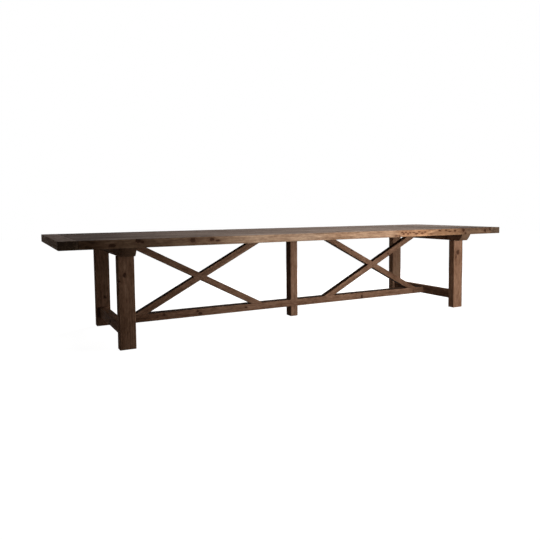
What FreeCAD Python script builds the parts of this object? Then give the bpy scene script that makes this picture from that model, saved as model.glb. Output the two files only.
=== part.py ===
import FreeCAD, Part
import math
import os

# A long trestle dining table in solid timber, with crossed braces under a breadboard-ended top.
# Sizes are in millimetres. X runs along the table with its left end at -X, Y runs from the
# front edge to the back edge, and Z runs up. The origin is on the floor under the middle
# of the top. A name that ends in rise is a height above the floor.

# Whole table
table_length = 4000.0
table_width = 1200.0
table_height = 770.0
arris = 3.0

# Top: boards along the length, held between two breadboard ends
board_count = 6
top_thickness = 60.0
breadboard_width = 120.0
seam_chamfer = 1.5
edge_tongue_depth = 12.0
edge_tongue_thickness = 14.0
end_tongue_length = 45.0
end_tongue_thickness = 20.0
end_tongue_setback = 35.0

# Trestles: a bearer under the top on two legs, with a low stretcher between the legs
trestle_inset = 382.0
leg_inset = 110.0
leg_width = 112.0
leg_depth = 70.0
bearer_width = 105.0
bearer_height = 60.0
bearer_setback = 10.0
bearer_end_slant = 43.0
bearer_end_bulge = 4.0
cross_stretcher_rise = 81.0
cross_stretcher_height = 80.0
cross_stretcher_thickness = 56.0
leg_tenon_height = 42.0
leg_tenon_thickness = 34.0
leg_tenon_width = 46.0
cross_tenon_length = 42.0
cross_tenon_thickness = 20.0
cross_tenon_height = 54.0

# Middle frame: long stretcher, centre post and top rail, as deep as one another
frame_depth = 86.0
stretcher_rise = 90.0
stretcher_height = 61.0
stretcher_tenon_length = 24.0
stretcher_tenon_thickness = 22.0
stretcher_tenon_height = 34.0
post_width = 70.0
post_tenon_height = 20.0
post_tenon_width = 34.0
post_tenon_depth = 40.0
rail_height = 38.0
rail_housing = 30.0

# Braces, flush with the front of the middle frame and halved where they cross.
# Each brace's centre line meets the stretcher and the rail at these distances
# from the post's side and from the trestle's low stretcher.
brace_width = 52.0
brace_thickness = 60.0
brace_foot_to_post = 333.0
brace_head_to_post = 360.0
brace_foot_to_trestle = 163.0
brace_head_to_trestle = 169.0
brace_tenon_depth = 18.0
brace_tenon_thickness = 20.0
brace_tenon_shoulder = 8.0

# Pegs
peg_diameter = 12.0
breadboard_peg_diameter = 10.0
breadboard_peg_length = 44.0
breadboard_slot_play = 6.0
cross_peg_length = 92.0
cross_peg_spacing = 26.0

# Knock-down bolts that hold the long stretcher to the trestles
bolt_diameter = 8.0
bolt_length = 110.0
bolt_spacing = 48.0
bolt_head_diameter = 16.0
bolt_head_thickness = 6.0
bolt_socket_depth = 3.5
bolt_counterbore_depth = 15.0
washer_diameter = 24.0
washer_thickness = 2.0
barrel_nut_diameter = 14.0
barrel_nut_length = 26.0
barrel_nut_to_end = 48.0

# Wood screws
screw_diameter = 5.0
screw_point_length = 8.0
screw_point_diameter = 1.0
screw_head_diameter = 11.0
screw_head_thickness = 3.5
screw_socket_depth = 2.0
bearer_screw_sink = 14.0
rail_screw_sink = 6.0
rail_screw_offset = 22.0
stretcher_screw_sink = 20.0
lap_screw_sink = 4.5
post_lap_screw_spacing = 32.0

# Clearances, and the run of a cutter past the face that it starts from
joint_clearance = 0.3
peg_clearance = 0.2
bolt_clearance = 0.4
screw_clearance = 0.2
overrun = 5.0

# Shares chosen by eye
screw_bite_share = 0.62
lap_screw_reach_share = 0.82
socket_width_share = 0.5
rail_screw_bay_shares = [0.3, 0.7]

# Levels and faces that the pieces share
top_underside = table_height - top_thickness
board_length = table_length - 2 * breadboard_width
board_width = table_width / board_count
bearer_underside = top_underside - bearer_height
leg_outer_x = table_length / 2 - trestle_inset
leg_centre_x = leg_outer_x - leg_width / 2
leg_outer_y = table_width / 2 - leg_inset
leg_inner_y = leg_outer_y - leg_depth
leg_centre_y = leg_outer_y - leg_depth / 2
bearer_inner_x = leg_centre_x - bearer_width / 2
bearer_tip_y = table_width / 2 - bearer_setback
cross_inner_x = leg_centre_x - cross_stretcher_thickness / 2
cross_outer_x = leg_centre_x + cross_stretcher_thickness / 2
frame_front = -frame_depth / 2
frame_back = frame_depth / 2
stretcher_top = stretcher_rise + stretcher_height
rail_underside = top_underside - rail_height
brace_back = frame_front + brace_thickness
brace_lap_y = frame_front + brace_thickness / 2

# The two ends and the two long edges, and either way along any axis
ends = {-1: "left", 1: "right"}
edges_across = {-1: "front", 1: "back"}
either_way = (-1, 1)

across = FreeCAD.Vector(0, 1, 0)
along = FreeCAD.Vector(1, 0, 0)
up = FreeCAD.Vector(0, 0, 1)

pieces = {}


# Shapes

def vector(x, y, z):
    return FreeCAD.Vector(x, y, z)


def ordered(first, second):
    return min(first, second), max(first, second)


def block(bounds, growth=0):
    # A box from its lowest and highest X, Y and Z, made larger on every side by the growth.
    x0, x1, y0, y1, z0, z1 = bounds
    corner = vector(x0 - growth, y0 - growth, z0 - growth)
    return Part.makeBox(x1 - x0 + 2 * growth, y1 - y0 + 2 * growth, z1 - z0 + 2 * growth, corner)


def extruded(outline_edges, way, length):
    return Part.Face(Part.Wire(outline_edges)).extrude(way * length)


def prism(outline, axis, start, end):
    # An outline of (Y, Z) pairs pushed along x, of (X, Z) pairs along y or (X, Y) pairs along z.
    place = {"x": lambda a, b: vector(start, a, b),
             "y": lambda a, b: vector(a, start, b),
             "z": lambda a, b: vector(a, b, start)}[axis]
    way = {"x": along, "y": across, "z": up}[axis]
    corners = [place(a, b) for a, b in outline]
    return extruded(Part.makePolygon(corners + corners[:1]).Edges, way, end - start)


def timber(axis, bounds):
    # A straight timber with its four long arrises eased.
    x0, x1, y0, y1, z0, z1 = bounds
    section = {"x": (y0, y1, z0, z1), "y": (x0, x1, z0, z1), "z": (x0, x1, y0, y1)}[axis]
    start, end = {"x": (x0, x1), "y": (y0, y1), "z": (z0, z1)}[axis]
    a0, a1, b0, b1 = section
    ease = min(arris, (a1 - a0) / 3, (b1 - b0) / 3)
    outline = [(a0 + ease, b0), (a1 - ease, b0), (a1, b0 + ease), (a1, b1 - ease),
               (a1 - ease, b1), (a0 + ease, b1), (a0, b1 - ease), (a0, b0 + ease)]
    return prism(outline, axis, start, end)


def round_bar(diameter, length, start, way):
    return Part.makeCylinder(diameter / 2, length, start, way)


def hex_socket(width, depth, mouth, way):
    # A six-sided recess that is cut into a fastener's head from its mouth.
    side = [vector(width / 2 * math.cos(turn * math.pi / 3), width / 2 * math.sin(turn * math.pi / 3), 0)
            for turn in range(6)]
    recess = extruded(Part.makePolygon(side + side[:1]).Edges, up, depth)
    recess.Placement = FreeCAD.Placement(mouth, FreeCAD.Rotation(up, way))
    return recess


def join(name, *shapes):
    pieces[name] = pieces[name].fuse(list(shapes)).removeSplitter()


def cut(name, shapes):
    pieces[name] = pieces[name].cut(Part.makeCompound(list(shapes))).removeSplitter()


# Top

def board_outline(number):
    # The board's section, with a groove on its front side and a tongue on its back side,
    # which the first and the last board leave plain on the outside of the top.
    y0 = -table_width / 2 + number * board_width
    y1 = y0 + board_width
    z0, z1 = top_underside, table_height
    middle = (z0 + z1) / 2
    first, last = number == 0, number == board_count - 1
    front = arris if first else seam_chamfer
    back = arris if last else seam_chamfer
    tongue = edge_tongue_thickness / 2
    groove = tongue + joint_clearance
    groove_depth = edge_tongue_depth + joint_clearance
    outline = [(y0 + front, z0), (y1 - back, z0), (y1, z0 + back)]
    if not last:
        outline += [(y1, middle - tongue), (y1 + edge_tongue_depth, middle - tongue),
                    (y1 + edge_tongue_depth, middle + tongue), (y1, middle + tongue)]
    outline += [(y1, z1 - back), (y1 - back, z1), (y0 + front, z1), (y0, z1 - front)]
    if not first:
        outline += [(y0, middle + groove), (y0 + groove_depth, middle + groove),
                    (y0 + groove_depth, middle - groove), (y0, middle - groove)]
    return outline + [(y0, z0 + front)]


def end_tongue_bounds(side, y0, y1):
    middle = top_underside + top_thickness / 2
    x0, x1 = ordered(side * board_length / 2, side * (board_length / 2 + end_tongue_length))
    return x0, x1, y0, y1, middle - end_tongue_thickness / 2, middle + end_tongue_thickness / 2


def make_top():
    tongue_limit = table_width / 2 - end_tongue_setback
    for number in range(board_count):
        name = "top_board_%d" % (number + 1)
        y0 = -table_width / 2 + number * board_width
        pieces[name] = prism(board_outline(number), "x", -board_length / 2, board_length / 2)
        tongue_y = max(y0, -tongue_limit), min(y0 + board_width, tongue_limit)
        join(name, *[block(end_tongue_bounds(side, *tongue_y)) for side in ends])
    for side, word in ends.items():
        name = "breadboard_end_" + word
        x0, x1 = ordered(side * board_length / 2, side * table_length / 2)
        pieces[name] = timber("y", (x0, x1, -table_width / 2, table_width / 2, top_underside, table_height))
        cut(name, [block(end_tongue_bounds(side, -tongue_limit, tongue_limit), joint_clearance)])


def fit_breadboard_pegs():
    # One peg in each board's end tongue, from below and stopped under the top's surface. The
    # hole in a tongue is a slot, except in the middle boards, so that the boards can move.
    pegs = []
    hole_diameter = breadboard_peg_diameter + 2 * peg_clearance
    for side, word in ends.items():
        x = side * (board_length / 2 + end_tongue_length / 2)
        for number in range(board_count):
            y = -table_width / 2 + (number + 1 / 2) * board_width
            foot = vector(x, y, top_underside)
            pegs.append(round_bar(breadboard_peg_diameter, breadboard_peg_length, foot, up))
            hole = round_bar(hole_diameter, breadboard_peg_length + peg_clearance, foot, up)
            below = round_bar(hole_diameter, overrun, foot - up * overrun, up)
            cut("breadboard_end_" + word, [hole, below])
            slot = [hole]
            if abs(number + 1 / 2 - board_count / 2) > 1:
                slot = [hole.translated(across * (breadboard_slot_play * way)) for way in either_way]
                slot.append(block((x - hole_diameter / 2, x + hole_diameter / 2,
                                   y - breadboard_slot_play, y + breadboard_slot_play,
                                   top_underside, table_height)))
            cut("top_board_%d" % (number + 1), slot)
    pieces["breadboard_pegs"] = Part.makeCompound(pegs)


# Trestles

def bearer_blank(side):
    # The bearer's side view has slanted ends that bulge a little, over eased long arrises.
    x0 = side * leg_centre_x - bearer_width / 2
    foot_y = bearer_tip_y - bearer_end_slant
    middle_y = bearer_tip_y - bearer_end_slant / 2 + bearer_end_bulge
    middle_z = top_underside - bearer_height / 2 - bearer_end_bulge
    corners = [vector(x0, way * y, z) for way in either_way
               for y, z in ((bearer_tip_y, top_underside), (middle_y, middle_z), (foot_y, bearer_underside))]
    edges = [Part.Arc(corners[0], corners[1], corners[2]).toShape(),
             Part.LineSegment(corners[2], corners[5]).toShape(),
             Part.Arc(corners[5], corners[4], corners[3]).toShape(),
             Part.LineSegment(corners[3], corners[0]).toShape()]
    side_view = extruded(edges, along, bearer_width)
    stock = timber("y", (x0, x0 + bearer_width, -bearer_tip_y, bearer_tip_y,
                         bearer_underside, top_underside))
    return side_view.common(stock)


def leg_tenon(side, way):
    x, y = side * leg_centre_x, way * leg_centre_y
    return (x - leg_tenon_thickness / 2, x + leg_tenon_thickness / 2,
            y - leg_tenon_width / 2, y + leg_tenon_width / 2,
            bearer_underside, bearer_underside + leg_tenon_height)


def cross_tenon(side, way):
    x = side * leg_centre_x
    z = cross_stretcher_rise + cross_stretcher_height / 2
    y0, y1 = ordered(way * leg_inner_y, way * (leg_inner_y + cross_tenon_length))
    return (x - cross_tenon_thickness / 2, x + cross_tenon_thickness / 2, y0, y1,
            z - cross_tenon_height / 2, z + cross_tenon_height / 2)


def make_trestle(side, word):
    bearer = "bearer_" + word
    cross = "cross_stretcher_" + word
    x0, x1 = ordered(side * cross_inner_x, side * cross_outer_x)
    pieces[bearer] = bearer_blank(side)
    pieces[cross] = timber("y", (x0, x1, -leg_inner_y, leg_inner_y, cross_stretcher_rise,
                                 cross_stretcher_rise + cross_stretcher_height))
    for way, depth_word in edges_across.items():
        leg = "leg_%s_%s" % (depth_word, word)
        leg_x0, leg_x1 = ordered(side * leg_outer_x, side * (leg_outer_x - leg_width))
        leg_y0, leg_y1 = ordered(way * leg_inner_y, way * leg_outer_y)
        pieces[leg] = timber("z", (leg_x0, leg_x1, leg_y0, leg_y1, 0, bearer_underside))
        join(leg, block(leg_tenon(side, way)))
        cut(leg, [block(cross_tenon(side, way), joint_clearance)])
        join(cross, block(cross_tenon(side, way)))
        cut(bearer, [block(leg_tenon(side, way), joint_clearance)])


def fit_trestle_pegs():
    # A peg right through each bearer and leg tenon, and two stopped pegs in each low joint,
    # which are driven from the side of the leg that faces the middle of the table.
    bearer_pegs, cross_pegs = [], []
    for side, word in ends.items():
        for way, depth_word in edges_across.items():
            leg = "leg_%s_%s" % (depth_word, word)
            z = bearer_underside + leg_tenon_height / 2
            start = vector(side * leg_centre_x - bearer_width / 2, way * leg_centre_y, z)
            bearer_pegs.append(round_bar(peg_diameter, bearer_width, start, along))
            hole = round_bar(peg_diameter + 2 * peg_clearance, bearer_width + 2 * overrun,
                             start - along * overrun, along)
            cut(leg, [hole])
            cut("bearer_" + word, [hole])
            for step in either_way:
                z = cross_stretcher_rise + cross_stretcher_height / 2 + step * cross_peg_spacing / 2
                outward = along * side
                start = vector(side * (leg_outer_x - leg_width),
                               way * (leg_inner_y + cross_tenon_length / 2), z)
                cross_pegs.append(round_bar(peg_diameter, cross_peg_length, start, outward))
                hole = round_bar(peg_diameter + 2 * peg_clearance,
                                 cross_peg_length + peg_clearance + overrun,
                                 start - outward * overrun, outward)
                cut(leg, [hole])
                cut("cross_stretcher_" + word, [hole])
    pieces["bearer_pegs"] = Part.makeCompound(bearer_pegs)
    pieces["cross_stretcher_pegs"] = Part.makeCompound(cross_pegs)


# Middle frame

def stretcher_tenon(side):
    z = stretcher_rise + stretcher_height / 2
    x0, x1 = ordered(side * cross_inner_x, side * (cross_inner_x + stretcher_tenon_length))
    return (x0, x1, -stretcher_tenon_thickness / 2, stretcher_tenon_thickness / 2,
            z - stretcher_tenon_height / 2, z + stretcher_tenon_height / 2)


def make_middle_frame():
    pieces["long_stretcher"] = timber("x", (-cross_inner_x, cross_inner_x, frame_front, frame_back,
                                            stretcher_rise, stretcher_top))
    for side, word in ends.items():
        join("long_stretcher", block(stretcher_tenon(side)))
        cut("cross_stretcher_" + word, [block(stretcher_tenon(side), joint_clearance)])

    # The rail lies in housings that are cut in the bearers from above.
    rail_end_x = bearer_inner_x + rail_housing
    pieces["top_rail"] = block((-rail_end_x, rail_end_x, frame_front, frame_back,
                                rail_underside, top_underside))
    for side, word in ends.items():
        x0, x1 = ordered(side * (bearer_inner_x - overrun), side * rail_end_x)
        cut("bearer_" + word, [block((x0, x1, frame_front, frame_back,
                                      rail_underside, top_underside + overrun))])

    # The stretcher runs on in front of the post, halved into it, and the post is tenoned
    # into the rail.
    tenon = (-post_tenon_width / 2, post_tenon_width / 2, -post_tenon_depth / 2, post_tenon_depth / 2,
             rail_underside, rail_underside + post_tenon_height)
    pieces["centre_post"] = timber("z", (-post_width / 2, post_width / 2, frame_front, frame_back,
                                         0, rail_underside))
    join("centre_post", block(tenon))
    cut("top_rail", [block(tenon, joint_clearance)])
    cut("centre_post", [block((-post_width, post_width, -frame_depth, 0, stretcher_rise, stretcher_top))])
    cut("long_stretcher", [block((-post_width / 2, post_width / 2, 0, frame_depth,
                                  stretcher_rise - overrun, stretcher_top + overrun))])


def fit_post_peg():
    z = rail_underside + post_tenon_height / 2
    start = vector(0, frame_front, z)
    pieces["post_peg"] = round_bar(breadboard_peg_diameter, frame_depth, start, across)
    hole = round_bar(breadboard_peg_diameter + 2 * peg_clearance, frame_depth + 2 * overrun,
                     start - across * overrun, across)
    cut("top_rail", [hole])
    cut("centre_post", [hole])


# Braces

class Brace:
    # The centre line of one brace, from its foot on the stretcher to its head under the rail.
    def __init__(self, name, foot_x, head_x):
        self.name = name
        self.foot_x = foot_x
        self.head_x = head_x
        rise = rail_underside - stretcher_top
        self.run_per_rise = (head_x - foot_x) / rise
        self.level_half_width = brace_width / 2 * math.hypot(1, self.run_per_rise)
        self.half_height = brace_width / 2 * math.hypot(1, 1 / self.run_per_rise)

    def x_at(self, z):
        return self.foot_x + (z - stretcher_top) * self.run_per_rise

    def outline(self, z0, z1, shoulder):
        # The side view between two levels, narrowed at both sides by the shoulder.
        half = self.level_half_width - shoulder
        return [(self.x_at(z0) - half, z0), (self.x_at(z0) + half, z0),
                (self.x_at(z1) + half, z1), (self.x_at(z1) - half, z1)]

    def body(self):
        # A straight timber on the centre line, trimmed level at its foot and its head.
        length = 2 * math.hypot(self.head_x - self.foot_x, rail_underside - stretcher_top)
        stock = timber("x", (-length / 2, length / 2, frame_front, brace_back,
                             -brace_width / 2, brace_width / 2))
        slope = math.degrees(math.atan2(1, self.run_per_rise))
        middle_z = (stretcher_top + rail_underside) / 2
        stock.Placement = FreeCAD.Placement(vector(self.x_at(middle_z), 0, middle_z),
                                            FreeCAD.Rotation(across * -1, slope))
        trim = block((-table_length, table_length, -frame_depth, frame_depth, stretcher_top, rail_underside))
        return stock.common(trim)

    def tenon(self, z0, z1, growth=0):
        middle = frame_front + brace_thickness / 2
        half = brace_tenon_thickness / 2 + growth
        return prism(self.outline(z0 - growth, z1 + growth, brace_tenon_shoulder - growth),
                     "y", middle - half, middle + half)


def brace_pair(side, word):
    inner_foot = side * (post_width / 2 + brace_foot_to_post)
    inner_head = side * (post_width / 2 + brace_head_to_post)
    outer_foot = side * (cross_inner_x - brace_foot_to_trestle)
    outer_head = side * (cross_inner_x - brace_head_to_trestle)
    low_left, low_right = ordered(inner_foot, outer_foot)
    high_left, high_right = ordered(inner_head, outer_head)
    return (Brace("brace_%s_rising" % word, low_left, high_right),
            Brace("brace_%s_falling" % word, low_right, high_left))


def make_braces(pair):
    levels = stretcher_top, rail_underside
    foot = stretcher_top - brace_tenon_depth, stretcher_top
    head = rail_underside, rail_underside + brace_tenon_depth
    for brace in pair:
        pieces[brace.name] = brace.body()
        join(brace.name, brace.tenon(*foot), brace.tenon(*head))
        cut("long_stretcher", [brace.tenon(*foot, growth=joint_clearance)])
        cut("top_rail", [brace.tenon(*head, growth=joint_clearance)])

    # Where they cross, the rising brace keeps its front half and the falling one its back half.
    rising, falling = pair
    cut(rising.name, [prism(falling.outline(*levels, 0), "y", brace_lap_y, brace_back + overrun)])
    cut(falling.name, [prism(rising.outline(*levels, 0), "y", frame_front - overrun, brace_lap_y)])


def crossing(pair):
    # The X and Z where the two centre lines meet.
    rising, falling = pair
    z = stretcher_top + (falling.foot_x - rising.foot_x) / (rising.run_per_rise - falling.run_per_rise)
    return rising.x_at(z), z


# Fasteners

def screw(seat, way, length):
    # A pan-headed wood screw whose head seats at the seat and whose point lies ahead of it.
    crown = seat - way * screw_head_thickness
    head = round_bar(screw_head_diameter, screw_head_thickness, crown, way)
    shank_length = length - screw_point_length
    shank = round_bar(screw_diameter, shank_length, seat, way)
    point = Part.makeCone(screw_diameter / 2, screw_point_diameter / 2, screw_point_length,
                          seat + way * shank_length, way)
    socket = hex_socket(screw_head_diameter * socket_width_share, screw_socket_depth, crown, way)
    return head.fuse([shank, point]).removeSplitter().cut(socket)


def screw_hole(seat, way, length, sink):
    hole = round_bar(screw_diameter + 2 * screw_clearance, length + screw_clearance, seat, way)
    pocket = round_bar(screw_head_diameter + 2 * screw_clearance, sink + overrun, seat, way * -1)
    return [hole, pocket]


def fit_screws(node, places):
    # Each place is the head's seat, the way it is driven, its length, its sink and what it joins.
    screws = []
    for seat, way, length, sink, joined in places:
        screws.append(screw(seat, way, length))
        for name in joined:
            cut(name, screw_hole(seat, way, length, sink))
    pieces[node] = Part.makeCompound(screws)


def bearer_screw_places():
    # One screw into each board. Those of the outer boards stand between the leg and the tip.
    places = []
    seat_z = bearer_underside + bearer_screw_sink
    length = top_underside - seat_z + top_thickness * screw_bite_share
    outer_y = (leg_outer_y + bearer_tip_y - bearer_end_slant) / 2
    for side, word in ends.items():
        for number in range(board_count):
            y = -table_width / 2 + (number + 1 / 2) * board_width
            if number in (0, board_count - 1):
                y = math.copysign(outer_y, y)
            joined = ["bearer_" + word, "top_board_%d" % (number + 1)]
            places.append((vector(side * leg_centre_x, y, seat_z), up, length, bearer_screw_sink, joined))
    return places


def rail_screw_places():
    # Screws up through the rail, in turn on either side of the seam between the middle boards.
    seat_z = rail_underside + rail_screw_sink
    length = top_underside - seat_z + top_thickness * screw_bite_share
    middle_boards = {1: "top_board_%d" % (board_count // 2 + 1), -1: "top_board_%d" % (board_count // 2)}
    places = []
    for side in ends:
        inner_head = post_width / 2 + brace_head_to_post
        outer_head = cross_inner_x - brace_head_to_trestle
        stations = [(post_width / 2 + inner_head) / 2]
        stations += [inner_head + share * (outer_head - inner_head) for share in rail_screw_bay_shares]
        stations += [(outer_head + bearer_inner_x) / 2]
        for turn, x in enumerate(stations):
            way = 1 if turn % 2 else -1
            seat = vector(side * x, way * rail_screw_offset, seat_z)
            places.append((seat, up, length, rail_screw_sink, ["top_rail", middle_boards[way]]))
    return places


def rail_end_screw_places():
    # The rail's ends are screwed down into the bearers, before the top goes on.
    seat_z = top_underside - rail_screw_sink
    length = (seat_z - rail_underside) + (rail_underside - bearer_underside) * screw_bite_share
    x = bearer_inner_x + rail_housing / 2
    return [(vector(side * x, 0, seat_z), up * -1, length, rail_screw_sink, ["top_rail", "bearer_" + word])
            for side, word in ends.items()]


def brace_screw_places(pairs):
    # Down through the rail into each brace's head, and up through the stretcher into its foot.
    heads, feet = [], []
    head_seat_z = top_underside - rail_screw_sink
    foot_seat_z = stretcher_rise + stretcher_screw_sink
    y = frame_front + brace_thickness / 2
    for pair in pairs:
        for brace in pair:
            bite = brace.half_height * screw_bite_share
            heads.append((vector(brace.head_x, y, head_seat_z), up * -1, head_seat_z - rail_underside + bite,
                          rail_screw_sink, ["top_rail", brace.name]))
            feet.append((vector(brace.foot_x, y, foot_seat_z), up, stretcher_top - foot_seat_z + bite,
                         stretcher_screw_sink, ["long_stretcher", brace.name]))
    return heads, feet


def lap_screw_places(pairs):
    # From the back through each halved crossing, and two through the post's halving.
    places = []
    for pair in pairs:
        x, z = crossing(pair)
        seat = vector(x, brace_back - lap_screw_sink, z)
        length = (brace_thickness - lap_screw_sink) * lap_screw_reach_share
        places.append((seat, across * -1, length, lap_screw_sink, [brace.name for brace in pair]))
    return places


def post_screw_places():
    z = stretcher_rise + stretcher_height / 2
    length = (frame_depth - lap_screw_sink) * lap_screw_reach_share
    return [(vector(side * post_lap_screw_spacing / 2, frame_back - lap_screw_sink, z), across * -1, length,
             lap_screw_sink, ["long_stretcher", "centre_post"]) for side in either_way]


def fit_bolts():
    # Two bolts at each end of the long stretcher. The heads lie on washers in counterbores in
    # the trestle's outer side, and each bolt ends in a barrel nut put in from underneath.
    bolts, washers, nuts = [], [], []
    z = stretcher_rise + stretcher_height / 2
    for side, word in ends.items():
        inward = along * -side
        for row in either_way:
            y = row * bolt_spacing / 2
            seat = vector(side * (cross_outer_x - bolt_counterbore_depth), y, z)
            disc = round_bar(washer_diameter, washer_thickness, seat, inward * -1)
            eye = round_bar(bolt_diameter + 2 * bolt_clearance, washer_thickness, seat, inward * -1)
            washers.append(disc.cut(eye))

            under_head = seat - inward * washer_thickness
            crown = under_head - inward * bolt_head_thickness
            head = round_bar(bolt_head_diameter, bolt_head_thickness, crown, inward)
            shank = round_bar(bolt_diameter, bolt_length, under_head, inward)
            socket = hex_socket(bolt_head_diameter * socket_width_share, bolt_socket_depth, crown, inward)
            bolts.append(head.fuse(shank).removeSplitter().cut(socket))

            pocket = round_bar(washer_diameter + 2 * bolt_clearance, bolt_counterbore_depth + overrun,
                               seat, inward * -1)
            hole = round_bar(bolt_diameter + 2 * bolt_clearance, bolt_length + bolt_clearance, seat, inward)
            cut("cross_stretcher_" + word, [pocket, hole])
            cut("long_stretcher", [hole])

            nut_centre = vector(side * (cross_inner_x - barrel_nut_to_end), y, z)
            nut_foot = nut_centre - up * (barrel_nut_length / 2)
            nut = round_bar(barrel_nut_diameter, barrel_nut_length, nut_foot, up)
            thread = round_bar(bolt_diameter + 2 * screw_clearance, barrel_nut_diameter + 2 * overrun,
                               nut_centre - along * (barrel_nut_diameter / 2 + overrun), along)
            nuts.append(nut.cut(thread))
            nut_hole_foot = vector(nut_centre.x, y, stretcher_rise - overrun)
            nut_hole_top = nut_centre.z + barrel_nut_length / 2 + screw_clearance
            cut("long_stretcher", [round_bar(barrel_nut_diameter + 2 * screw_clearance,
                                             nut_hole_top - nut_hole_foot.z, nut_hole_foot, up)])
    pieces["stretcher_bolts"] = Part.makeCompound(bolts)
    pieces["stretcher_washers"] = Part.makeCompound(washers)
    pieces["barrel_nuts"] = Part.makeCompound(nuts)


# Assembly

def make_table():
    make_top()
    for side, word in ends.items():
        make_trestle(side, word)
    make_middle_frame()
    pairs = [brace_pair(side, word) for side, word in ends.items()]
    for pair in pairs:
        make_braces(pair)
    fit_breadboard_pegs()
    fit_trestle_pegs()
    fit_post_peg()
    fit_screws("top_screws", bearer_screw_places())
    fit_screws("rail_screws", rail_screw_places())
    fit_screws("rail_end_screws", rail_end_screw_places())
    head_places, foot_places = brace_screw_places(pairs)
    fit_screws("brace_head_screws", head_places)
    fit_screws("brace_foot_screws", foot_places)
    fit_screws("brace_lap_screws", lap_screw_places(pairs))
    fit_screws("post_lap_screws", post_screw_places())
    fit_bolts()


def write_pieces():
    os.makedirs("parts", exist_ok=True)
    for name, shape in sorted(pieces.items()):
        solids = shape.Solids
        result = solids[0] if len(solids) == 1 else Part.makeCompound(solids)
        result.exportStep("parts/%s.step" % name)
        print("%-22s %3d solids, %10.0f cubic mm, valid %s"
              % (name, len(solids), result.Volume, result.isValid()))


make_table()
write_pieces()
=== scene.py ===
import math
import random
from functools import partial

import bmesh
import bpy
from mathutils import Matrix, Vector, noise


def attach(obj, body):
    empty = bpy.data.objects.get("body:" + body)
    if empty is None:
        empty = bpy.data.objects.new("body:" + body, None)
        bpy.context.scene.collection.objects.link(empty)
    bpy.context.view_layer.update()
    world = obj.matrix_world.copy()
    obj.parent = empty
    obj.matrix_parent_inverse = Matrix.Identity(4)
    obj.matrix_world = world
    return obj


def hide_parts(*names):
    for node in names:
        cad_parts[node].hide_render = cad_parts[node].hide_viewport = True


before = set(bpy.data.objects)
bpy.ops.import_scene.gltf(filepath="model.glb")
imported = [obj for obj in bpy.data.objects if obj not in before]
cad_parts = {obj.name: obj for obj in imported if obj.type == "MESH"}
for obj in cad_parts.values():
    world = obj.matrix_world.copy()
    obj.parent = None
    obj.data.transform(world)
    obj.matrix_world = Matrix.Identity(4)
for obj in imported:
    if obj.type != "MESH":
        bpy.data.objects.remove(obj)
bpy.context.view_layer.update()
print("frame loaded:", len(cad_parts), "nodes")

# The long trestle dining table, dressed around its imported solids.
# Metres throughout: X along the table, -Y the photographed side, Z up from the floor.


def toLinear(hexColour):  # sRGB hex to the linear colour that the sockets take
    values = [int(hexColour[start:start + 2], 16) / 255 for start in (1, 3, 5)]
    return [v / 12.92 if v <= 0.04045 else ((v + 0.055) / 1.055) ** 2.4 for v in values] + [1.0]


def addNode(tree, kind, inputs=None, output=0, **settings):  # a node, its settings and its links
    node = tree.nodes.new("ShaderNode" + kind)
    for key, value in settings.items():
        setattr(node, key, value)
    for socket, value in (inputs or {}).items():
        if isinstance(value, bpy.types.NodeSocket):
            tree.links.new(value, node.inputs[socket])
        else:
            node.inputs[socket].default_value = value
    return node if output is None else node.outputs[output]


def startNodes(owner):  # empties a material's or the world's nodes, and gives what adds to them
    owner.use_nodes = True
    owner.node_tree.nodes.clear()
    return partial(addNode, owner.node_tree)


def newObject(name, data):
    made = bpy.data.objects.new(name, data)
    bpy.context.scene.collection.objects.link(made)
    return made


# The timber finish

knotLayers = ("knotA", "knotB", "knotC", "knotD")  # neighbouring knots go to different ones
noiseSpan = (0.3, 0.7)  # nearly all of a noise texture's values lie between these
baseFinish = {
    "tones": [(0.0, "#503828"), (0.30, "#785742"), (0.55, "#957058"), (0.78, "#A98269"), (1.0, "#BD987D")],
    "warm": "#FFE4CC", "coolAndSheen": "#DCE8FF",  # redder timbers, cooler patches and the tops' painted sheen are multiplied by these
    # The dirt colour also paints shade on upper faces under the top, on undersides and on left faces.
    "worn": "#AE8D72", "wornShare": 0.55, "dirtAndShade": "#1E140E", "dirtAndShadeShare": 0.9,
    "knotCore": "#34211A", "knotRing": "#5E3F2E", "knotShare": 0.86, "halo": "#6E4C38",
    "leastKnot": 0.0004,  # radius below which a knot is no more than a point
    "ragged": (70.0, 0.72, 1.3),  # knots aren't round: noise scale, and the least and most of the radius
    "knotEdge": (0.75, 1.15), "haloEdge": (0.9, 3.2),  # where each fades out, in radii
    "haloStreaks": (1.2, 0.62),  # how far the streaks break the halo up, and how strong it is
    "parting": 0.05, "knotRingRate": 22.0,
    "wander": ((1.1, 3.0, 3.0), 1.5, (0.0, 0.055, 0.055)),  # noise scale, detail and reach
    "ringSpacing": 0.013, "ringShare": 0.10,
    "patterns": {  # noise scale along, across and through, detail, and share of the tone
        "blotch": ((4, 9, 9), 2, 0.55), "broad": ((1.2, 32, 32), 2, 0.50),
        "mottle": ((14, 48, 48), 2, 0.75), "fleck": ((40, 110, 110), 2, 0.60),
        "streak": ((3.5, 120, 120), 3, 0.40), "fine": ((16, 640, 640), 2, 0.22),
    },
    "patternRoughness": 0.6,
    "roughness": (0.66, 0.84), "roughSpan": (-0.25, 0.25), "specular": 0.015, "ior": 1.5,
    "ringHeight": 0.25, "fineHeight": 0.6, "knotHeight": 0.4, "bump": (0.7, 0.0011),
}
topFinish = dict(
    baseFinish,
    tones=[(0.0, "#4E3E32"), (0.30, "#735D4C"), (0.55, "#8B735F"), (0.78, "#A18872"), (1.0, "#B89F87")],
    knotRing="#5A4132", halo="#6C5140", worn="#AC9178", roughness=(0.60, 0.78), specular=0.01,
)


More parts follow.
